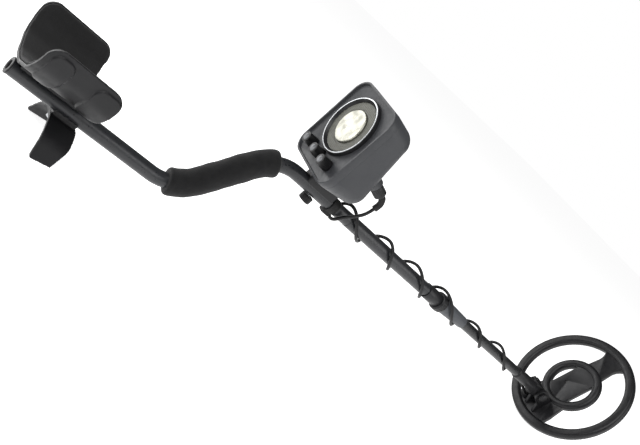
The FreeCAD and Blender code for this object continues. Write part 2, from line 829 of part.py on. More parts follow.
def station(along_stem, quarter, distance):
    """Point beside the stem; 0 is the right-hand side and 90 is the top."""
    angle = math.radians(quarter)
    return V(along_stem, -distance * math.cos(angle), distance * math.sin(angle))


def winding(stations):
    """Points of the turns, with one more between each two quarters."""
    points = []
    for here, after in zip(stations, stations[1:]):
        points.append(station(*here))
        step = (after[1] - here[1]) % 360
        step = step - 360 if step > 180 else step
        points.append(station((here[0] + after[0]) / 2, here[1] + step / 2, (here[2] + after[2]) / 2 * 1.02))
    points.append(station(*stations[-1]))
    return points


def half_way(a, b):
    return (a + b) * 0.5


relief_r = 4.4
relief_start = along(boss_length + 2.6 + plug_length + 3.9)
relief_points = [relief_start, relief_start + connector_dir * 4.0,
                 relief_start + V(9.0, 0.6, -7.5), relief_start + V(9.0, 1.6, -17.5)]
lead_points = [V(-587, -27, 25), V(-590, -22.0, 14.5), V(-595, -16.2, 4.0)]


def strain_relief():
    """Short bent sleeve behind the plug."""
    bore = pipe(route(cable_points()[0]), cable_r + seat_gap)
    return pipe(route(relief_points), relief_r).cut(bore).cut(connector_plug())


def cable_points():
    """Whole route, in three pieces that meet end to end in the middle of a straight run."""
    turns = winding(stem_turns + lower_turns)
    points = relief_points + lead_points + turns
    first = len(relief_points + lead_points) + 2 * len(stem_turns) - 1
    second = len(points)
    points += coil_tail()
    first_meet = half_way(points[first - 1], points[first])
    second_meet = half_way(points[second - 1], points[second])
    return [points[:first] + [first_meet], [first_meet] + points[first:second] + [second_meet],
            [second_meet] + points[second:]]


def coil_tail():
    """From the last turn along the left of the rod's tip and down into the gland on the coil."""
    mouth = on_coil(V(gland_x, gland_y, plate_top + gland_height - 6))
    up = coil_direction(Z)
    return [station(-98, -140, 14.0), V(-80, 15.5, -3), V(-64, 19.5, -3), mouth + up * 16, mouth]


gland_height = 9.0
gland_r = 5.5


# --- snap strap that holds the lead to the stem ------------------------------------------------
strap_x = -619.0
strap_width = 12.0


def cable_strap():
    """Rubber saddle under the rear tube that the lead is pressed into."""
    band = ring(V(strap_x, 0, 0), X, rod_r + 1.6, rod_r + seat_gap, strap_width)
    lump = slab(V(strap_x, -6, -rod_r - 5.0), V(strap_x + strap_width, 6, -4))
    lower = [e for e in lump.Edges if e.BoundBox.ZMax < -rod_r]
    lump = lump.makeFillet(2.0, [e for e in lower if e.BoundBox.YLength < 1e-6 and e.BoundBox.ZLength < 1e-6])
    body = fused([band, lump]).cut(rod(V(strap_x - 1, 0, 0), X, rod_r + seat_gap, strap_width + 2))
    return body


# --- twist lock --------------------------------------------------------------------------------
def lock_sleeve():
    """Sleeve glued to the middle tube, with a spigot that the ring turns on."""
    start = V(lock_x - sleeve_length, 0, 0)
    body = ring(start, X, sleeve_d / 2, middle_r + seat_gap, sleeve_length - free_gap)
    seat = V(lock_x - 2.0, 0, 0)
    spigot = ring(seat, X, spigot_d / 2, lower_r + slide_gap, spigot_length)
    web = ring(seat, X, sleeve_d / 2, lower_r + slide_gap, 2.0 - free_gap)
    return fused([body, spigot, web])


def lock_ring():
    """Black grip ring that turns with the nut."""
    body = ring(V(lock_x, 0, 0), X, ring_d / 2, spigot_d / 2 + slide_gap, ring_length)
    edges = [e for e in body.Edges if e.Length > 80 and e.BoundBox.XLength < 1e-6]
    body = body.makeFillet(3.0, edges)
    grooves = []
    for k in range(18):
        grooves.append(rod(station(lock_x + 3.5, 20 * k, ring_d / 2 + 0.5), X, 1.1, ring_length - 7))
    return body.cut(group(grooves))


def lock_nut():
    """Tapered nose that squeezes the collet on the lower tube."""
    start = V(lock_x + ring_length, 0, 0)
    body = cone(start, X, nut_d / 2, nut_tip_d / 2, nut_length)
    body = body.makeChamfer(1.2, [e for e in body.Edges if e.BoundBox.XMin > start.x + nut_length - 1
                                  and e.BoundBox.YLength > 1])
    room = rod(start - X, X, spigot_d / 2 + slide_gap, spigot_length + collet_length - ring_length + 2)
    return body.cut(room).cut(rod(start - X, X, lower_r + 0.3, nut_length + 4))


def lock_collet():
    """Split ring between nut and lower tube."""
    start = V(lock_x + spigot_length, 0, 0)
    body = ring(start, X, spigot_d / 2 - 0.5, lower_r + slide_gap, collet_length)
    slots = [turned(slab(start + V(4, -0.6, 0), start + V(23, 0.6, 12)), 90 * k, V(0, 0, 0), X)
             for k in range(4)]
    return body.cut(group(slots))


def lower_tube():
    """Inner tube; its tip fitting covers the last stretch."""
    rear = lock_x - lower_overlap
    return ring(V(rear, 0, 0), X, lower_r, lower_r - lower_wall, -tip_length + tip_cover - rear)


def tube_tip():
    """Plastic end fitting with the flat tongue that the pivot bolt passes through."""
    rear = V(-tip_length, 0, 0)
    barrel = rod(rear, X, tip_d / 2, tip_length - 24)
    barrel = barrel.makeChamfer(1.6, [e for e in barrel.Edges if e.BoundBox.XMax < -tip_length + 1])
    neck = rod(V(-25, 0, 0), X, tip_d / 2, 12)
    tongue = fused([slab(V(-26, -tongue_half, -tongue_r + 0.6), V(0, tongue_half, tongue_r - 0.6)),
                    rod(V(0, -tongue_half, 0), Y, tongue_r, 2 * tongue_half)])
    neck = neck.common(slab(V(-30, -tongue_half - 3, -20), V(0, tongue_half + 3, 20)))
    neck = neck.cut(rod(V(0, -30, 0), Y, ear_r + free_gap + 2.5, 60))
    body = fused([barrel, neck, tongue])
    body = body.cut(rod(rear - X, X, lower_r + seat_gap, tip_cover + 1.2))
    return body.cut(rod(V(0, -20, 0), Y, pivot_bolt_d / 2 + slide_gap, 40))


ear_outer = tongue_half + washer + 0.35 + ear_wall


# --- coil, drawn flat about its own centre and then tilted about the pivot ----------------------
pivot = V(-pivot_back, 0, pivot_height)


def on_coil(point):
    """A point of the flat coil, where it is on the tilted one."""
    moved = point - pivot
    angle = math.radians(coil_tilt)
    return V(moved.x * math.cos(angle) - moved.z * math.sin(angle), moved.y,
             moved.x * math.sin(angle) + moved.z * math.cos(angle))


def coil_direction(direction):
    return on_coil(pivot + direction)


def tilted(shape):
    copy = shape.copy()
    copy.translate(pivot * -1)
    copy.rotate(V(0, 0, 0), Y, -coil_tilt)
    return copy


def rim_section(inner, outer, half, low, high, corner):
    """Turned ring with rounded outer edges, from low to high."""
    points = [V(inner, 0, -half), V(outer, 0, -half), V(outer, 0, half), V(inner, 0, half)]
    whole = Part.Face(rounded_loop(points, corner)).revolve(V(0, 0, 0), Z, 360)
    return whole.common(slab(V(-outer - 5, -outer - 5, low), V(outer + 5, outer + 5, high)))


def coil_plate():
    """Spoke band, wide rear plate and the plate inside the hub ring."""
    low = plate_top - plate_thickness
    reach = coil_r - rim_width_coil / 2
    flare = [V(-reach, -rear_plate_half, low), V(-reach + 30, -rear_plate_half, low),
             V(-hub_r * 0.55, -hub_r * 0.62, low), V(hub_r * 0.8, -spoke_half - 3, low),
             V(reach * 0.78, -spoke_half, low), V(reach, -spoke_half - 18, low)]
    points = flare + [V(p.x, -p.y, p.z) for p in reversed(flare)]
    radii = [4.0, 20.0, 12.0, 20.0, 24.0, 3.0]
    spoke = prism(rounded_loop(points, radii + list(reversed(radii))), V(0, 0, plate_thickness))
    disc = rod(V(0, 0, low), Z, hub_r - 4, plate_thickness)
    limit = rod(V(0, 0, low - 1), Z, reach, plate_thickness + 2)
    return fused([spoke.common(limit), disc])


def crescents():
    """Two slots inside the hub ring, beside the spoke band."""
    inside = hub_r - hub_ring_width - 1.0
    disc = rod(V(0, 0, -20), Z, inside, 40)
    return [disc.common(slab(V(-60, slot_inset, -20), V(60, 60, 20))),
            disc.common(slab(V(-60, -60, -20), V(60, -slot_inset, 20)))]


winding_low = -3.0
winding_height = plate_top - winding_low - 0.4
winding_wall = 4.0


def winding_room(gap):
    """Channel in the rim for the outer winding."""
    return ring(V(0, 0, winding_low - gap), Z, coil_r - winding_wall + gap,
                coil_r - rim_width_coil + winding_wall - gap, winding_height + 2 * gap)


def hub_room(gap):
    return ring(V(0, 0, winding_low - gap), Z, hub_r - winding_wall + gap,
                hub_r - hub_ring_width + winding_wall - gap, winding_height + 2 * gap)


def ear(side):
    """Upright lug beside the tongue."""
    inner = side * (tongue_half + washer + 0.35)
    low = plate_top - 0.5
    outline = [V(pivot.x - 26, inner, low), V(pivot.x + ear_r, inner, low),
               V(pivot.x + ear_r, inner, pivot.z + ear_r), V(pivot.x - ear_r, inner, pivot.z + ear_r),
               V(pivot.x - 12, inner, low + 15)]
    return prism(rounded_loop(outline, [0.5, 0.5, 11.9, 11.9, 8.0]), V(0, side * ear_wall, 0))


def coil_lower():
    """Lower shell: bottom half of both rings, the plate and the two lugs."""
    half = rim_thickness / 2
    outer = rim_section(coil_r - rim_width_coil, coil_r, half, -half - 1, plate_top, rim_round)
    hub = rim_section(hub_r - hub_ring_width, hub_r, half, -half - 1, plate_top, rim_round)
    body = fused([outer, hub, coil_plate(), ear(1), ear(-1)])
    body = body.cut(group(crescents())).cut(winding_room(0.3)).cut(hub_room(0.3))
    body = body.cut(rod(V(-4.5, 9, -20), Z, 2.4, 40))
    body = body.cut(rod(pivot - Y * 40, Y, pivot_bolt_d / 2 + slide_gap, 80))
    body = body.cut(rod(V(gland_x, gland_y, -20), Z, gland_r - 1.5 + seat_gap, 40))
    return tilted(body)


def coil_upper():
    """Upper shell: the rounded tops of both rings."""
    half = rim_thickness / 2
    outer = rim_section(coil_r - rim_width_coil, coil_r, half, plate_top, half + 1, rim_round)
    hub = rim_section(hub_r - hub_ring_width, hub_r, half, plate_top, half + 1, rim_round)
    beside = ear_outer + free_gap
    ears = slab(V(pivot.x - 30, -beside, 0), V(pivot.x + ear_r + free_gap, beside, 40))
    return tilted(group([outer, hub.cut(ears)]))


def transmit_winding():
    return tilted(winding_room(0.0))


def receive_winding():
    return tilted(hub_room(0.0))


def pivot_washers():
    washers = []
    for side in (1, -1):
        start = pivot + Y * side * (tongue_half + 0.15)
        washers.append(ring(start, Y * side, tongue_r, pivot_bolt_d / 2 + slide_gap, washer))
    return tilted(group(washers))


def coil_gland():
    start = V(gland_x, gland_y, plate_top)
    body = cone(start, Z, gland_r + 1.0, gland_r - 1.5, gland_height)
    stem = rod(start - Z * (plate_thickness - 1), Z, gland_r - 1.5, plate_thickness)
    return tilted(fused([body, stem]).cut(rod(start + Z * 2, Z, cable_r + seat_gap, 20)))


def pivot_bolt():
    """Plastic bolt: round head on the right, shank through the lugs."""
    shank = rod(pivot - Y * (ear_outer + 2), Y, pivot_bolt_d / 2, 2 * ear_outer + 2 + coil_knob_length - 2)
    head = rod(pivot - Y * (ear_outer + 5.3), Y, 8.0, 5.0)
    head = head.makeFillet(1.6, [e for e in head.Edges if e.BoundBox.YMax < -ear_outer - 5])
    return tilted(fused([shank, head]))


def pivot_knob():
    """Lobed knob that tightens the pivot."""
    start = pivot + Y * (ear_outer + 0.4)
    core = rod(start, Y, coil_knob_d / 2 - 2.0, coil_knob_length)
    lobes = []
    for k in range(8):
        angle = math.radians(45 * k)
        at = start + V(math.cos(angle), 0, math.sin(angle)) * (coil_knob_d / 2 - 3.4)
        lobes.append(rod(at, Y, 3.4, coil_knob_length - 1.0))
    body = fused([core] + lobes)
    return tilted(body.cut(rod(start - Y, Y, pivot_bolt_d / 2 + seat_gap, coil_knob_length - 1.0 + 1.0)))


# --- assembly ----------------------------------------------------------------------------------
def build():
    nodes = {
        "s_rod": s_rod(), "rear_end_cap": rear_end_cap(), "foam_grip": foam_grip(),
        "arm_cup": arm_cup(), "cup_padding": cup_padding(), "cup_bolts": cup_bolts(),
        "cup_nuts": cup_nuts(), "stand": stand(),
        "housing_front": housing_front(), "housing_rear": housing_rear(),
        "speaker_ring": speaker_ring(), "speaker_grille": speaker_grille(),
        "speaker_disc": speaker_disc(), "speaker_frame": speaker_frame(),
        "speaker_cone": speaker_cone(), "speaker_magnet": speaker_magnet(),
        "potentiometers": potentiometers(), "circuit_board": circuit_board(),
        "batteries": batteries(), "battery_holder": battery_holder(), "battery_door": battery_door(),
        "box_bracket": box_bracket(), "bracket_screws": bracket_screws(),
        "clamp_screw": clamp_screw(), "clamp_knob": clamp_knob(),
        "connector_socket": connector_socket(), "plug_nut": plug_nut(),
        "connector_plug": connector_plug(), "strain_relief": strain_relief(),
        "cable_strap": cable_strap(),
        "middle_tube": middle_tube(), "rod_joiner": rod_joiner(),
        "snap_button": snap_button(), "button_spring": button_spring(),
        "lock_sleeve": lock_sleeve(), "lock_ring": lock_ring(), "lock_nut": lock_nut(),
        "lock_collet": lock_collet(), "lower_tube": lower_tube(), "tube_tip": tube_tip(),
        "coil_lower": coil_lower(), "coil_upper": coil_upper(),
        "transmit_winding": transmit_winding(), "receive_winding": receive_winding(),
        "pivot_washers": pivot_washers(), "coil_gland": coil_gland(),
        "pivot_bolt": pivot_bolt(), "pivot_knob": pivot_knob(),
    }
    for name, place in zip(("volume", "sensitivity", "discrimination"), knob_places()):
        nodes[name + "_knob"] = control_knob(place)
        nodes[name + "_cap"] = knob_cap(place)
        nodes[name + "_shaft"] = knob_shaft(place)
    for name, points in zip(("cable_upper", "cable_lower", "cable_tail"), cable_points()):
        spine = route(points)
        nodes[name] = pipe(spine, cable_r)
        expected = math.pi * cable_r ** 2 * spine.Length
        radii = [e.Curve.Radius for e in spine.Edges if hasattr(e.Curve, "Radius")]
        print(name, "length %.1f" % spine.Length, "volume / (section x length) %.4f"
              % (nodes[name].Volume / expected), "smallest radius %.1f" % min(radii))
    return nodes


def floor_pitch():
    """Slope of the floor under the soles and the coil's rear edge, in degrees."""
    rim = on_coil(V(-coil_r + rim_round, 0, -rim_thickness / 2 + rim_round))
    across = rim - sole
    length = math.hypot(across.x, across.z)
    return math.degrees(math.atan2(across.z, across.x) - math.asin(rim_round / length))


def stand_on_floor(nodes):
    """Level the floor line and put the origin under the middle of the whole detector."""
    pitch = floor_pitch()
    for shape in nodes.values():
        shape.rotate(V(0, 0, 0), Y, pitch)
    box = Part.makeCompound(list(nodes.values())).optimalBoundingBox(False, False)
    shift = V(-(box.XMin + box.XMax) / 2, -(box.YMin + box.YMax) / 2, -box.ZMin)
    for shape in nodes.values():
        shape.translate(shift)
    return pitch, shift


NODES = build()
PITCH, SHIFT = stand_on_floor(NODES)
os.makedirs("parts", exist_ok=True)
for node_name, node_shape in NODES.items():
    node_shape.exportStep("parts/" + node_name + ".step")
print(len(NODES), "nodes, floor pitch %.3f, shift" % PITCH, SHIFT)
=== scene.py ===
import json
import math

import bmesh
import bpy
from mathutils import Matrix, Vector, noise
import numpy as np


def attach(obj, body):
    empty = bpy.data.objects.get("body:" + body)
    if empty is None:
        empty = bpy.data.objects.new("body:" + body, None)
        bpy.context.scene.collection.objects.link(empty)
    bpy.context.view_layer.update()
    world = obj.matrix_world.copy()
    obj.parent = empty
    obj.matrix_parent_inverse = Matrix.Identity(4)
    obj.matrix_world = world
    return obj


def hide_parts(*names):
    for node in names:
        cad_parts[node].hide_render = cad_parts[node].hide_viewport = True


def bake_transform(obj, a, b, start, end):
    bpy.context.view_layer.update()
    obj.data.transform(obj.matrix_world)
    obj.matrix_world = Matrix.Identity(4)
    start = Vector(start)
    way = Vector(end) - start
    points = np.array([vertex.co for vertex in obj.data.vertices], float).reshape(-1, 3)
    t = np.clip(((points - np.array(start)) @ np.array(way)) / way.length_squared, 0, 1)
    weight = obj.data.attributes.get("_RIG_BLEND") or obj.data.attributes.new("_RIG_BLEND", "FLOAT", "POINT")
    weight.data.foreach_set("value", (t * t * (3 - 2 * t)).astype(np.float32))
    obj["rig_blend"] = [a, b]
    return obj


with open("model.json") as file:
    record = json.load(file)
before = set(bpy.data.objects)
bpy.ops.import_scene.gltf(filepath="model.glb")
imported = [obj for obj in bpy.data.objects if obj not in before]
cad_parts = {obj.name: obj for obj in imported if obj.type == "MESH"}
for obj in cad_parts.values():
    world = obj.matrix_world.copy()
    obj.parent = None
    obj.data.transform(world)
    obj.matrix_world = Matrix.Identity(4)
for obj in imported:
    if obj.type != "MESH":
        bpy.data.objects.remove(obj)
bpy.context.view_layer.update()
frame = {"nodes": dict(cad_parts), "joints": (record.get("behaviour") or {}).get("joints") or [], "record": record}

bl_info = {
    "name": "Metal detector",
    "version": (1, 0, 0),
    "blender": (4, 5, 0),
    "location": "View3D > Sidebar > Detector",
    "description": "Looks of a hand-held metal detector, built round its CAD frame",
    "category": "Object",
}

NODES = frame["nodes"]
JOINTS = {joint["name"]: joint for joint in frame["joints"]}

# The stem's frame: origin at the coil's pivot, X along the stem towards the coil, Z up from it.
PIVOT = Vector(JOINTS["coil_tilt"]["pos_m"])
ALONG = Vector(JOINTS["rod_slide"]["axis"]).normalized()
LEFT = Vector((0.0, 1.0, 0.0))
UP = ALONG.cross(LEFT).normalized()


def at(x, y, z):
    """A point of the stem's frame, in millimetres, as a row-frame point in metres."""
    return PIVOT + (ALONG * x + LEFT * y + UP * z) * 0.001


def mm(value):
    return value * 0.001


# --- materials -----------------------------------------------------------------------------------
def colour(code):
    """Linear RGBA from an sRGB hex code."""
    parts = [int(code[i:i + 2], 16) / 255 for i in (0, 2, 4)]
    return [c / 12.92 if c <= 0.04045 else ((c + 0.055) / 1.055) ** 2.4 for c in parts] + [1.0]


def add(tree, kind, settings=None, inputs=None, links=None):
    """Adds a node with its settings, input values and incoming links."""
    node = tree.nodes.new(kind)
    for key, value in (settings or {}).items():
        setattr(node, key, value)
    for key, value in (inputs or {}).items():
        node.inputs[key].default_value = value
    for key, source in (links or {}).items():
        tree.links.new(source, node.inputs[key])
    return node


def start(name, **values):
    """A new material with its shader's whole-surface values set; returns material, tree and shader."""
    material = bpy.data.materials.new(name)
    material.use_nodes = True
    tree = material.node_tree
    shader = tree.nodes["Principled BSDF"]
    for key, value in values.items():
        shader.inputs[key.replace("_", " ")].default_value = value
    return material, tree, shader


def spread(tree, source, low, high, lowest=0.35, highest=0.65):
    """Maps a noise value to a range."""
    node = add(tree, "ShaderNodeMapRange",
               inputs={"From Min": lowest, "From Max": highest, "To Min": low, "To Max": high},
               links={"Value": source})
    return node.outputs["Result"]


def grain(tree, size_mm, detail=2.0, roughness=0.5, stretch=None):
    """Noise whose features are about size_mm across."""
    place = add(tree, "ShaderNodeTexCoord").outputs["Object"]
    if stretch:
        place = add(tree, "ShaderNodeMapping", inputs={"Scale": stretch}, links={"Vector": place}).outputs[0]
    texture = add(tree, "ShaderNodeTexNoise",
                  inputs={"Scale": 1000.0 / size_mm, "Detail": detail, "Roughness": roughness},
                  links={"Vector": place})
    return texture.outputs["Fac"]


def mixed(tree, factor, first, second):
    node = add(tree, "ShaderNodeMix", {"data_type": "RGBA"}, links={"Factor": factor})
    node.inputs["A"].default_value = colour(first)
    node.inputs["B"].default_value = colour(second)
    return node.outputs["Result"]


def relief(tree, shader, height, depth_mm, strength=1.0, below=None):
    node = add(tree, "ShaderNodeBump", inputs={"Strength": strength, "Distance": mm(depth_mm)},
               links={"Height": height})
    if below:
        tree.links.new(below, node.inputs["Normal"])
    tree.links.new(node.outputs["Normal"], shader.inputs["Normal"])
    return node.outputs["Normal"]


def moulded(name, dark, light, rough_low, rough_high, texture_mm=0.9, depth=0.02, coat=0.0):
    """Injection-moulded plastic: an even colour, a fine spark-eroded texture and handling marks."""
    material, tree, shader = start(name, IOR=1.5, Metallic=0.0, Specular_IOR_Level=0.25)
    cloud = grain(tree, 35.0, 4.0)
    tree.links.new(mixed(tree, cloud, dark, light), shader.inputs["Base Color"])
    marks = grain(tree, 7.0, 6.0, 0.65)
    tree.links.new(spread(tree, marks, rough_low, rough_high), shader.inputs["Roughness"])
    relief(tree, shader, grain(tree, texture_mm, 2.0), depth)
    if coat:
        shader.inputs["Coat Weight"].default_value = coat
        shader.inputs["Coat Roughness"].default_value = 0.15
    return material


def powder_coated(name, dark, light, rough_low, rough_high):
    """Powder coat on drawn tube: satin black with a faint orange peel about 1.5 mm across."""
    material, tree, shader = start(name, IOR=1.5, Metallic=0.0, Specular_IOR_Level=0.4)
    tree.links.new(mixed(tree, grain(tree, 22.0, 4.0), dark, light), shader.inputs["Base Color"])
    tree.links.new(spread(tree, grain(tree, 5.0, 5.0, 0.6), rough_low, rough_high), shader.inputs["Roughness"])
    relief(tree, shader, grain(tree, 1.5, 1.0), 0.03)
    return material


def metal(name, tone, second, rough_low, rough_high, grain_mm=0.8, depth=0.01):
    """Plain or plated metal: fine machining marks break up the reflection."""
    material, tree, shader = start(name, Metallic=1.0)
    tree.links.new(mixed(tree, grain(tree, 6.0, 4.0), tone, second), shader.inputs["Base Color"])
    tree.links.new(spread(tree, grain(tree, grain_mm, 4.0), rough_low, rough_high), shader.inputs["Roughness"])
    relief(tree, shader, grain(tree, grain_mm, 2.0), depth)
    return material


def foam_material(name, dark, light, pore_mm):
    """Closed-cell foam: matt, slightly dusty, pitted with small open cells."""
    material, tree, shader = start(name, IOR=1.45, Metallic=0.0)
    place = add(tree, "ShaderNodeTexCoord").outputs["Object"]
    cells = add(tree, "ShaderNodeTexVoronoi", inputs={"Scale": 1000.0 / pore_mm}, links={"Vector": place})
    soft = grain(tree, 9.0, 5.0, 0.6)
    tree.links.new(mixed(tree, soft, dark, light), shader.inputs["Base Color"])
    tree.links.new(spread(tree, soft, 0.82, 0.98), shader.inputs["Roughness"])
    first = relief(tree, shader, cells.outputs["Distance"], 0.25, 0.55)
    relief(tree, shader, grain(tree, 4.0, 3.0), 0.35, 0.5, first)
    shader.inputs["Sheen Weight"].default_value = 0.08
    shader.inputs["Sheen Roughness"].default_value = 0.6
    shader.inputs["Specular IOR Level"].default_value = 0.25
    return material


def brushed_dome(name):
    """Vacuum-metallised dome: bright cream silver with soft broad reflections and fine specks."""
    material, tree, shader = start(name, Metallic=0.75, IOR=1.5)
    tree.links.new(mixed(tree, spread(tree, grain(tree, 14.0, 3.0), 0.0, 1.0), "77766d", "a9a89e"),
                   shader.inputs["Base Color"])
    tree.links.new(spread(tree, grain(tree, 9.0, 3.0), 0.22, 0.38), shader.inputs["Roughness"])
    relief(tree, shader, grain(tree, 2.2, 2.0), 0.05, 0.5)
    return material


def all_materials(looks):
    """Every finish, by the record's slot or by the piece it is for."""
    return {
        # Satin powder coat: a long soft highlight down the tube.
        "tube": powder_coated("powder_coated_aluminium_tube", looks.tube_dark, "26272a", 0.26, 0.40),
        "lower_tube": powder_coated("lacquered_glass_fibre_tube", "111213", "1d1e20", 0.24, 0.36),
        # Moulded nylon and ABS: dull black that turns grey where it reflects light at a low angle.
        "cup_plastic": moulded("moulded_black_nylon", looks.plastic_dark, "1b1b1d", 0.34, 0.50),
        "lock_plastic": moulded("moulded_black_acetal", "101011", "1c1c1e", 0.30, 0.45, 0.6),
        "coil_plastic": moulded("moulded_black_abs_coil_shell", "0e0e0f", "1a1a1c", 0.27, 0.42, 0.8),
        "knob_plastic": moulded("moulded_black_abs_knob", "0b0b0c", "151516", 0.30, 0.45, 0.5),
        "nut_plastic": moulded("moulded_grey_nylon", "3c3e41", "4c4e52", 0.36, 0.50, 0.7),
        "housing_plastic": moulded("spark_textured_dark_grey_abs", looks.box_dark, looks.box_light,
                                   0.36, 0.50, 0.8, 0.03),
        # Foams: no shine at all, with pores.
        "foam": foam_material("eva_foam_grip", "060607", "0d0d0e", 1.1),
        "pad_foam": foam_material("skinned_foam_pad", "101011", "191919", 0.7),
        # Metals.
        "steel": metal("zinc_plated_steel", "a4a6a8", "bfc1c4", 0.22, 0.38),
        "spring_steel": metal("spring_steel", "8d8f92", "a3a5a8", 0.25, 0.4),
        "tube_metal": metal("drawn_aluminium", "b4b6b9", "c6c8cb", 0.28, 0.42),
        "nickel": metal("nickel_plated_brass", "b9b6ab", "d5d2c8", 0.10, 0.24),
        "brass": metal("machined_brass", "b9994f", "cdb06a", 0.20, 0.34),
        "copper": metal("enamelled_copper_wire", "8a4b22", "a9642f", 0.25, 0.4),
        "speaker_trim": moulded("moulded_black_bezel", "131314", "1e1e20", 0.28, 0.42, 0.6),
        # Knob caps: the grey is partly the caps' own colour and partly a painted highlight for the light their end
        # faces catch.
        "knob_face": moulded("moulded_grey_knob_cap_and_painted_highlight", "616264", "6e6f72", 0.35, 0.50, 0.5),
        "magnet": moulded("sintered_ferrite", "222225", "2e2e31", 0.55, 0.7, 0.6),
        "speaker_dome": brushed_dome("metallised_dome"),
        "speaker_mesh": powder_coated("coated_perforated_steel", "4a4a43", "5e5e55", 0.38, 0.52),
        "speaker_basket": powder_coated("painted_pressed_steel", "1c1c1d", "28282a", 0.4, 0.5),
        "speaker_paper": foam_material("coated_paper_cone", "141414", "1f1f1f", 0.8),
        "board": moulded("solder_masked_circuit_board", "0f4a26", "176034", 0.3, 0.42, 1.6),
        "battery": powder_coated("painted_battery_can", "20242e", "2d3340", 0.3, 0.4),
        # Soft PVC and rubber: matt black with a low sheen.
        "jacket": moulded("soft_pvc_cable_jacket", "0c0c0d", "151516", 0.36, 0.50, 0.5, 0.01),
        "rubber": moulded("moulded_black_rubber", "0e0e0e", "171717", 0.55, 0.70, 0.6),
    }


MATERIALS = {}


def finish_node(node):
    """Gives a CAD node the finish of its slot."""
    slots = {row["node"]: row["material_slot"] for row in frame["record"]["subparts"]}
    data = NODES[node].data
    data.materials.clear()
    data.materials.append(MATERIALS[slots[node]])


def slot_of(node):
    return {row["node"]: row["material_slot"] for row in frame["record"]["subparts"]}[node]


# --- mesh helpers --------------------------------------------------------------------------------
def new_object(name, mesh):
    piece = bpy.data.objects.new(name, mesh)
    bpy.context.scene.collection.objects.link(piece)
    return piece


def applied(piece):
    """Applies a piece's modifiers."""
    graph = bpy.context.evaluated_depsgraph_get()
    mesh = bpy.data.meshes.new_from_object(piece.evaluated_get(graph))
    piece.modifiers.clear()
    piece.data = mesh
    return piece


def smooth(piece, degrees=35.0):
    for face in piece.data.polygons:
        face.use_smooth = True
    piece.data.set_sharp_from_angle(angle=math.radians(degrees))
    return piece


def copy_of(node):
    """A clean copy of a CAD node's mesh: welded, with its flat faces joined."""
    mesh = NODES[node].data.copy()
    mesh.materials.clear()
    work = bmesh.new()
    work.from_mesh(mesh)
    bmesh.ops.remove_doubles(work, verts=work.verts, dist=mm(0.004))
    bmesh.ops.dissolve_limit(work, angle_limit=math.radians(0.6), verts=work.verts, edges=work.edges)
    work.to_mesh(mesh)
    work.free()
    for name in list(mesh.attributes.keys()):
        if name.startswith("custom_normal"):
            mesh.attributes.remove(mesh.attributes[name])
    return mesh


def place(piece, node, body=None, slot=None):
    """Finish, slot and body of a piece that stands for a CAD node."""
    piece.data.materials.clear()
    piece.data.materials.append(MATERIALS[slot or slot_of(node)])
    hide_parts(node)
    if body:
        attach(piece, body)
    return piece


def body_name(node):
    return next(b for b, nodes in frame["record"]["behaviour"]["bodies"].items() if node in nodes)


def eased(node, width_mm, segments=2):
    """A CAD node with its sharp edges rounded, as a mould leaves them."""
    piece = new_object(node + "_moulded", copy_of(node))
    cut = piece.modifiers.new("edges", "BEVEL")
    cut.limit_method = "ANGLE"
    cut.angle_limit = math.radians(32)
    cut.width = mm(width_mm)
    cut.segments = segments
    cut.use_clamp_overlap = True
    applied(piece)
    smooth(piece)
    return place(piece, node, body_name(node))


def remeshed(node, voxel_mm, passes, name=None):
    """A CAD node as one soft-edged skin."""
    piece = new_object(name or node + "_skin", copy_of(node))
    skin = piece.modifiers.new("skin", "REMESH")
    skin.mode = "VOXEL"
    skin.voxel_size = mm(voxel_mm)
    ease = piece.modifiers.new("ease", "SMOOTH")
    ease.factor = 0.5
    ease.iterations = passes
    applied(piece)
    smooth(piece, 60)
    return piece


def tube_mesh(name, points, radius, sides=16, caps=True):
    """Round tube along closely spaced points; radius may be a function of the share of the length."""
    work = bmesh.new()
    rings = []
    side = None
    count = len(points)
    for i, here in enumerate(points):
        ahead = points[min(i + 1, count - 1)] - points[max(i - 1, 0)]
        ahead.normalize()
        if side is None:
            side = ahead.orthogonal().normalized()
        side = (side - ahead * side.dot(ahead)).normalized()
        other = ahead.cross(side)
        size = radius(i / (count - 1)) if callable(radius) else radius
        ring = []
        for k in range(sides):
            turn = 2 * math.pi * k / sides
            ring.append(work.verts.new(here + (side * math.cos(turn) + other * math.sin(turn)) * size))
        rings.append(ring)
    for first, second in zip(rings, rings[1:]):
        for k in range(sides):
            work.faces.new((first[k], first[(k + 1) % sides], second[(k + 1) % sides], second[k]))
    if caps:
        work.faces.new(list(reversed(rings[0])))
        work.faces.new(rings[-1])
    mesh = bpy.data.meshes.new(name)
    work.to_mesh(mesh)
    work.free()
    return mesh


def spline_points(points, resolution):
    """Points along a smooth NURBS line with these control points."""
    curve = bpy.data.curves.new("line", "CURVE")
    curve.dimensions = "3D"
    curve.resolution_u = resolution
    spline = curve.splines.new("NURBS")
    spline.points.add(len(points) - 1)
    for slot, point in zip(spline.points, points):
        slot.co = (*point, 1.0)
    spline.order_u = 3
    spline.use_endpoint_u = True
    holder = bpy.data.objects.new("line", curve)
    mesh = bpy.data.meshes.new_from_object(holder)
    line = [v.co.copy() for v in mesh.vertices]
    bpy.data.objects.remove(holder)
    bpy.data.curves.remove(curve)
    bpy.data.meshes.remove(mesh)
    return line


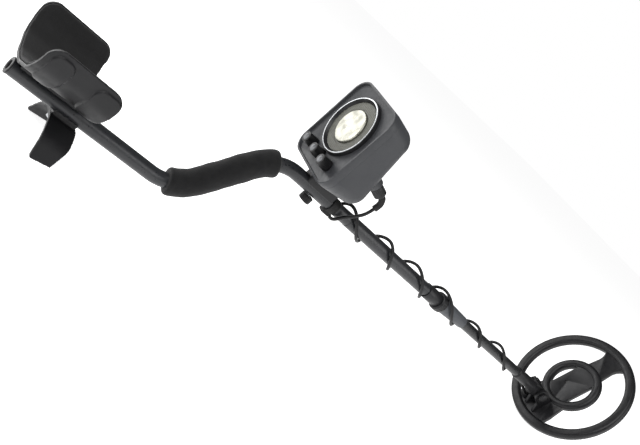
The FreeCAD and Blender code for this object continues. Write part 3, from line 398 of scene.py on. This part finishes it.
def lathe(name, profile, centre, axis, sides=48):
    """Surface of revolution; profile holds (along the axis, radius) pairs in metres."""
    work = bmesh.new()
    axis = axis.normalized()
    side = axis.orthogonal().normalized()
    other = axis.cross(side)
    rings = []
    for along, size in profile:
        middle = centre + axis * along
        if size < 1e-7:
            rings.append([work.verts.new(middle)])
            continue
        rings.append([work.verts.new(middle + (side * math.cos(2 * math.pi * k / sides)
                                               + other * math.sin(2 * math.pi * k / sides)) * size)
                      for k in range(sides)])
    for first, second in zip(rings, rings[1:]):
        for k in range(sides):
            a = [first[k % len(first)], first[(k + 1) % len(first)]]
            b = [second[(k + 1) % len(second)], second[k % len(second)]]
            corners = list(dict.fromkeys(a + b))
            if len(corners) > 2:
                work.faces.new(corners)
    bmesh.ops.recalc_face_normals(work, faces=work.faces)
    mesh = bpy.data.meshes.new(name)
    work.to_mesh(mesh)
    work.free()
    return mesh


# --- settings ------------------------------------------------------------------------------------
class DetectorSettings(bpy.types.PropertyGroup):
    """Sizes and colours that a user would change."""
    tube_dark: bpy.props.StringProperty(name="Tube colour", description="sRGB hex of the coated tube",
                                        default="161719")
    plastic_dark: bpy.props.StringProperty(name="Plastic colour", description="sRGB hex of the arm cup",
                                           default="101011")
    box_dark: bpy.props.StringProperty(name="Box colour", description="sRGB hex of the control box",
                                       default="303134")
    box_light: bpy.props.StringProperty(name="Box colour, worn", description="sRGB hex of the box's lighter areas",
                                        default="3a3b3d")
    edge_round: bpy.props.FloatProperty(name="Edge rounding", description="Radius on moulded edges",
                                        default=0.5, min=0.1, max=2.0)
    cable_width: bpy.props.FloatProperty(name="Cable diameter", description="Diameter of the coil cable",
                                         default=0.0046, unit="LENGTH")
    floor_tone: bpy.props.FloatVectorProperty(name="Floor colour", description="Pale floor, linear",
                                              subtype="COLOR", size=4, default=(0.9, 0.9, 0.9, 1.0))
    light_power: bpy.props.FloatProperty(name="Light", description="Power of the main soft light",
                                         default=60.0, unit="POWER")


def settings():
    return bpy.context.scene.detector


# --- stage ---------------------------------------------------------------------------------------
CAMERA_PLACE = (-1223.1, -778.8, 159.8)
CAMERA_RIGHT = (0.597575, -0.296654, 0.744916)
CAMERA_UP = (-0.517916, 0.566415, 0.641043)
CAMERA_LENS = 44.37


def stem_direction(direction):
    x, y, z = direction
    return (ALONG * x + LEFT * y + UP * z).normalized()


class DETECTOR_OT_stage(bpy.types.Operator):
    """Floor, world, lights and camera"""
    bl_idname = "detector.stage"
    bl_label = "Stage"

    def execute(self, context):
        scene = context.scene
        mesh = bpy.data.meshes.new("floor")
        half = 12.0
        mesh.from_pydata([(-half, -half, 0), (half, -half, 0), (half, half, 0), (-half, half, 0)], [], [(0, 1, 2, 3)])
        floor = new_object("floor", mesh)
        material, tree, shader = start("matt_white_paper", Roughness=0.9, IOR=1.45)
        shader.inputs["Base Color"].default_value = settings().floor_tone
        shader.inputs["Emission Color"].default_value = (1.0, 1.0, 1.0, 1.0)
        shader.inputs["Emission Strength"].default_value = 0.8
        mesh.materials.append(material)
        world = bpy.data.worlds.new("studio")
        world.use_nodes = True
        back = world.node_tree.nodes["Background"]
        back.inputs["Color"].default_value = (1.0, 1.0, 1.0, 1.0)
        seen = add(world.node_tree, "ShaderNodeLightPath").outputs["Is Camera Ray"]
        world.node_tree.links.new(spread(world.node_tree, seen, 0.18, 1.0, 0.0, 1.0), back.inputs["Strength"])
        scene.world = world
        scene.view_settings.view_transform = "Standard"
        self.softbox("key", at(-2100, -900, 1700), at(-600, 0, 0), 2.2, settings().light_power)
        self.softbox("far", at(-1900, 1900, 500), at(-900, 0, -50), 1.8, settings().light_power * 0.7)
        self.softbox("right", at(700, -1700, 1100), at(-400, 0, 0), 1.6, settings().light_power * 0.4)
        camera = bpy.data.objects.new("camera", bpy.data.cameras.new("camera"))
        camera.data.lens = CAMERA_LENS
        camera.data.sensor_width = 36.0
        camera.data.clip_end = 100.0
        right, up = stem_direction(CAMERA_RIGHT), stem_direction(CAMERA_UP)
        back_axis = right.cross(up).normalized()
        turn = Matrix((right, back_axis.cross(right), back_axis)).transposed().to_4x4()
        camera.matrix_world = Matrix.Translation(at(*CAMERA_PLACE)) @ turn
        scene.collection.objects.link(camera)
        scene.camera = camera
        return {"FINISHED"}

    def softbox(self, name, place_at, aim, size, power):
        light = bpy.data.lights.new(name, "AREA")
        light.shape = "SQUARE"
        light.size = size
        light.energy = power
        lamp = bpy.data.objects.new(name, light)
        lamp.location = place_at
        lamp.rotation_euler = (aim - place_at).to_track_quat("-Z", "Y").to_euler()
        bpy.context.scene.collection.objects.link(lamp)


# --- rods and grip -------------------------------------------------------------------------------
class DETECTOR_OT_rods(bpy.types.Operator):
    """Coated tubes, end cap, release button and twist lock"""
    bl_idname = "detector.rods"
    bl_label = "Rods"

    def execute(self, context):
        for node in ("s_rod", "middle_tube", "rod_joiner", "snap_button", "button_spring", "lower_tube",
                     "lock_collet"):
            finish_node(node)
        for node in ("rear_end_cap", "lock_sleeve", "lock_ring", "lock_nut", "tube_tip", "cable_strap"):
            eased(node, settings().edge_round)
        return {"FINISHED"}


class DETECTOR_OT_grip(bpy.types.Operator):
    """Foam sleeve over the rod's slope, a little uneven and rounded at its ends"""
    bl_idname = "detector.grip"
    bl_label = "Foam grip"

    def execute(self, context):
        line = self.centre_line()
        size = mm(17.1)

        def radius(share):
            end = min(share, 1 - share) * GRIP_LENGTH
            lead = math.sqrt(max(0.0, 1 - (1 - min(end / 5.0, 1.0)) ** 2))
            swell = 1 + 0.012 * math.sin(share * 21.0) + 0.008 * math.sin(share * 47.0 + 1.0)
            return size * (0.83 + 0.17 * lead) * swell * 0.985

        mesh = tube_mesh("foam_grip_sleeve", line, radius, 48)
        for vertex in mesh.vertices:
            lump = noise.noise(vertex.co * 55.0) * 0.0004
            vertex.co += vertex.normal * lump
        piece = smooth(new_object("foam_grip_sleeve", mesh), 50)
        place(piece, "foam_grip", "frame")
        return {"FINISHED"}

    def centre_line(self):
        """Middle of the sleeve: part of the low bend, the slope and the start of the high bend."""
        low_turn, high_turn = math.degrees(0.68), math.degrees(0.52)
        line = [self.on_bend(GRIP_LOW_BEND, GRIP_SLOPE_TURN - low_turn * (1 - k / 40)) for k in range(40)]
        first, last = self.on_bend(GRIP_LOW_BEND, GRIP_SLOPE_TURN), self.on_bend(GRIP_HIGH_BEND, 180 + GRIP_SLOPE_TURN)
        line += [first.lerp(last, k / 63) for k in range(63)]
        return line + [self.on_bend(GRIP_HIGH_BEND, 180 + GRIP_SLOPE_TURN - high_turn * k / 31) for k in range(32)]

    def on_bend(self, middle, degrees):
        turn = math.radians(degrees)
        return at(middle[0] + BEND_RADIUS * math.cos(turn), 0, middle[1] + BEND_RADIUS * math.sin(turn))


# Middles of the rod's two bends, along the stem and above it, in millimetres.
GRIP_LOW_BEND = (-819.18, -53.0)
GRIP_HIGH_BEND = (-683.82, -60.0)
BEND_RADIUS = 60.0
GRIP_SLOPE_TURN = -30.66
GRIP_LENGTH = 135.0


# --- arm cup -------------------------------------------------------------------------------------
class DETECTOR_OT_arm(bpy.types.Operator):
    """Arm cup, its foam pad, the stand and their bolts"""
    bl_idname = "detector.arm"
    bl_label = "Arm cup and stand"

    def execute(self, context):
        cup = remeshed("arm_cup", 0.9, 3)
        place(cup, "arm_cup", "frame")
        stand = remeshed("stand", 0.8, 3)
        place(stand, "stand", "frame")
        pad = remeshed("cup_padding", 1.2, 8, "cup_pad")
        place(pad, "cup_padding", "frame")
        for node in ("cup_bolts", "cup_nuts"):
            eased(node, 0.3)
        return {"FINISHED"}


# --- control box ---------------------------------------------------------------------------------
class DETECTOR_OT_box(bpy.types.Operator):
    """Control box shells, bracket, clamp and connector"""
    bl_idname = "detector.box"
    bl_label = "Control box"

    def execute(self, context):
        for node in ("housing_front", "housing_rear", "box_bracket", "battery_door", "clamp_knob"):
            eased(node, settings().edge_round)
        for node in ("clamp_screw", "bracket_screws", "circuit_board", "batteries", "battery_holder"):
            finish_node(node)
        for node in ("connector_socket", "plug_nut", "connector_plug"):
            eased(node, 0.25)
        return {"FINISHED"}


SPEAKER_HEIGHT = 86.8


class DETECTOR_OT_speaker(bpy.types.Operator):
    """Speaker ring, perforated grille, dome and the parts behind"""
    bl_idname = "detector.speaker"
    bl_label = "Speaker"

    def execute(self, context):
        for node in ("speaker_frame", "speaker_cone", "speaker_magnet", "speaker_grille"):
            finish_node(node)
        eased("speaker_ring", 0.4, 3)
        eased("speaker_disc", 0.4, 3)
        piece = new_object("speaker_grille_holes", self.perforated())
        piece.data.materials.append(MATERIALS["speaker_mesh"])
        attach(piece, "frame")
        rim = lathe("speaker_rim_line", [(mm(d), mm(r)) for d, r in
                                         ((0.3, 38.9), (-0.25, 39.1), (-0.3, 39.9), (-0.05, 40.3), (0.5, 40.3))],
                    at(-686.5, 0, SPEAKER_HEIGHT), ALONG, 96)
        line = smooth(new_object("speaker_rim_line", rim), 50)
        line.data.materials.append(MATERIALS["steel"])
        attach(line, "frame")
        return {"FINISHED"}

    def perforated(self):
        """Sheet with round holes on a hexagonal lattice, laid on the grille ring."""
        centre = at(-683.1, 0, SPEAKER_HEIGHT)
        pitch, hole = 2.3, 0.72
        work = bmesh.new()
        rows = 40
        for row in range(-rows, rows + 1):
            for column in range(-rows, rows + 1):
                u = (column + 0.5 * (row % 2)) * pitch
                v = row * pitch * math.sqrt(3) / 2
                reach = math.hypot(u, v)
                if not 24.9 < reach < 35.2:
                    continue
                outer, inner = [], []
                for k in range(12):
                    turn = math.radians(30 * k)
                    corner = pitch / math.sqrt(3) if k % 2 else pitch / 2
                    outer.append((u + corner * math.cos(turn), v + corner * math.sin(turn)))
                    inner.append((u + hole * math.cos(turn), v + hole * math.sin(turn)))
                ring = [work.verts.new(centre + (LEFT * a + UP * b) * 0.001) for a, b in outer]
                lip = [work.verts.new(centre + (LEFT * a + UP * b) * 0.001) for a, b in inner]
                deep = [work.verts.new(centre + (LEFT * a + UP * b + ALONG * 0.5) * 0.001) for a, b in inner]
                for k in range(12):
                    n = (k + 1) % 12
                    work.faces.new((ring[k], ring[n], lip[n], lip[k]))
                    work.faces.new((lip[k], lip[n], deep[n], deep[k]))
        bmesh.ops.remove_doubles(work, verts=work.verts, dist=mm(0.02))
        bmesh.ops.recalc_face_normals(work, faces=work.faces)
        mesh = bpy.data.meshes.new("speaker_grille_holes")
        work.to_mesh(mesh)
        work.free()
        return mesh


class DETECTOR_OT_controls(bpy.types.Operator):
    """Three control knobs with their caps and shafts"""
    bl_idname = "detector.controls"
    bl_label = "Control knobs"

    def execute(self, context):
        for name in ("volume", "sensitivity", "discrimination"):
            eased(name + "_knob", 0.35)
            eased(name + "_cap", 0.2)
            finish_node(name + "_shaft")
        finish_node("potentiometers")
        return {"FINISHED"}


# --- cable ---------------------------------------------------------------------------------------
# Turns round the stem: millimetres along it, degrees round it, distance from its axis.
STEM_TURNS = [(-600, -40, 14.2), (-601, -90, 13.6), (-596, 180, 14.0), (-587, 90, 18.4),
              (-566, 0, 14.2), (-537, -90, 14.2), (-517, 180, 14.2), (-498, 90, 18.2),
              (-485, 0, 14.2), (-462, -90, 15.4), (-446, 180, 14.2), (-428, 90, 19.4),
              (-402, 0, 14.4), (-378, -90, 15.4)]
LOWER_TURNS = [(-364, 180, 16.2), (-350, 90, 20.6), (-318, 0, 16.0),
               (-284, -90, 14.4), (-262, 180, 12.6), (-243, 90, 13.4), (-226, 0, 12.0),
               (-199, -90, 12.0), (-182, 180, 12.0), (-167, 90, 15.6), (-144, 0, 12.0),
               (-112, -90, 13.4)]


def station(x, quarter, distance):
    angle = math.radians(quarter)
    return Vector((x, -distance * math.cos(angle), distance * math.sin(angle)))


def winding(stations):
    """Turns with one more point between each two quarters."""
    points = []
    for here, after in zip(stations, stations[1:]):
        points.append(station(*here))
        step = (after[1] - here[1]) % 360
        step = step - 360 if step > 180 else step
        points.append(station((here[0] + after[0]) / 2, here[1] + step / 2, (here[2] + after[2]) / 2 * 1.02))
    points.append(station(*stations[-1]))
    return points


class DETECTOR_OT_cable(bpy.types.Operator):
    """Coil cable wound round the stem, with its strain relief and gland"""
    bl_idname = "detector.cable"
    bl_label = "Cable"

    def execute(self, context):
        drop = math.radians(14.0)
        nose = Vector((math.cos(drop), 0, -math.sin(drop)))
        relief_start = Vector((-623.0, -30.0, 63.0)) + nose * 29.5
        lead = [relief_start, relief_start + nose * 4.0, relief_start + Vector((9.0, 0.6, -7.5)),
                relief_start + Vector((9.0, 1.6, -17.5)), Vector((-587, -27, 25)), Vector((-590, -22.0, 14.5)),
                Vector((-595, -16.2, 4.0))]
        turns = winding(STEM_TURNS + LOWER_TURNS)
        first = len(lead) + 2 * len(STEM_TURNS) - 1
        points = lead + turns
        second = len(points)
        points += self.tail()
        meets = [(points[first - 1] + points[first]) / 2, (points[second - 1] + points[second]) / 2]
        runs = [points[:first] + meets[:1], meets[:1] + points[first:second] + meets[1:],
                meets[1:] + points[second:]]
        names = ("cable_upper", "cable_lower", "cable_tail")
        for name, run in zip(names, runs):
            line = spline_points([at(*p) for p in run], 10)
            mesh = tube_mesh(name + "_line", line, settings().cable_width / 2, 16)
            piece = smooth(new_object(name + "_line", mesh), 60)
            if name == "cable_upper":
                place(piece, name, "frame")
                continue
            place(piece, name)
            bodies = ("frame", "lower_rod") if name == "cable_lower" else ("lower_rod", "coil")
            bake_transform(piece, *bodies, start=tuple(line[0]), end=tuple(line[-1]))
        eased("strain_relief", 0.3)
        eased("coil_gland", 0.3)
        return {"FINISHED"}

    def tail(self):
        """From the last turn down into the gland on the tilted coil."""
        tilt = math.radians(73.1)
        shift = Vector((-78.0 + 60.9, 22.0, 4.0 + 9.0 - 6.0 - 31.3))
        mouth = Vector((shift.x * math.cos(tilt) - shift.z * math.sin(tilt), shift.y,
                        shift.x * math.sin(tilt) + shift.z * math.cos(tilt)))
        up = Vector((-math.sin(tilt), 0, math.cos(tilt)))
        return [station(-98, -140, 14.0), Vector((-80, 15.5, -3)), Vector((-64, 19.5, -3)), mouth + up * 16, mouth]


# --- coil ----------------------------------------------------------------------------------------
class DETECTOR_OT_coil(bpy.types.Operator):
    """Search coil shells, windings, washers, pivot bolt and knob"""
    bl_idname = "detector.coil"
    bl_label = "Search coil"

    def execute(self, context):
        for node in ("coil_lower", "coil_upper", "pivot_bolt", "pivot_knob", "pivot_washers"):
            eased(node, settings().edge_round)
        for node in ("transmit_winding", "receive_winding"):
            finish_node(node)
        return {"FINISHED"}


# --- panel and registration ----------------------------------------------------------------------
STEPS = (DETECTOR_OT_stage, DETECTOR_OT_rods, DETECTOR_OT_grip, DETECTOR_OT_arm, DETECTOR_OT_box,
         DETECTOR_OT_speaker, DETECTOR_OT_controls, DETECTOR_OT_cable, DETECTOR_OT_coil)


class DETECTOR_PT_panel(bpy.types.Panel):
    """Lists the detector's pieces"""
    bl_idname = "DETECTOR_PT_panel"
    bl_label = "Metal detector"
    bl_space_type = "VIEW_3D"
    bl_region_type = "UI"
    bl_category = "Detector"

    def draw(self, context):
        for name in DetectorSettings.__annotations__:
            self.layout.prop(context.scene.detector, name)
        for step in STEPS:
            self.layout.operator(step.bl_idname)


CLASSES = (DetectorSettings, *STEPS, DETECTOR_PT_panel)


def register():
    for item in CLASSES:
        bpy.utils.register_class(item)
    bpy.types.Scene.detector = bpy.props.PointerProperty(type=DetectorSettings)


def unregister():
    del bpy.types.Scene.detector
    for item in reversed(CLASSES):
        bpy.utils.unregister_class(item)


def main():
    register()
    MATERIALS.update(all_materials(settings()))
    for step in STEPS:
        group, name = step.bl_idname.split(".")
        getattr(getattr(bpy.ops, group), name)()


if __name__ == "__main__":
    main()
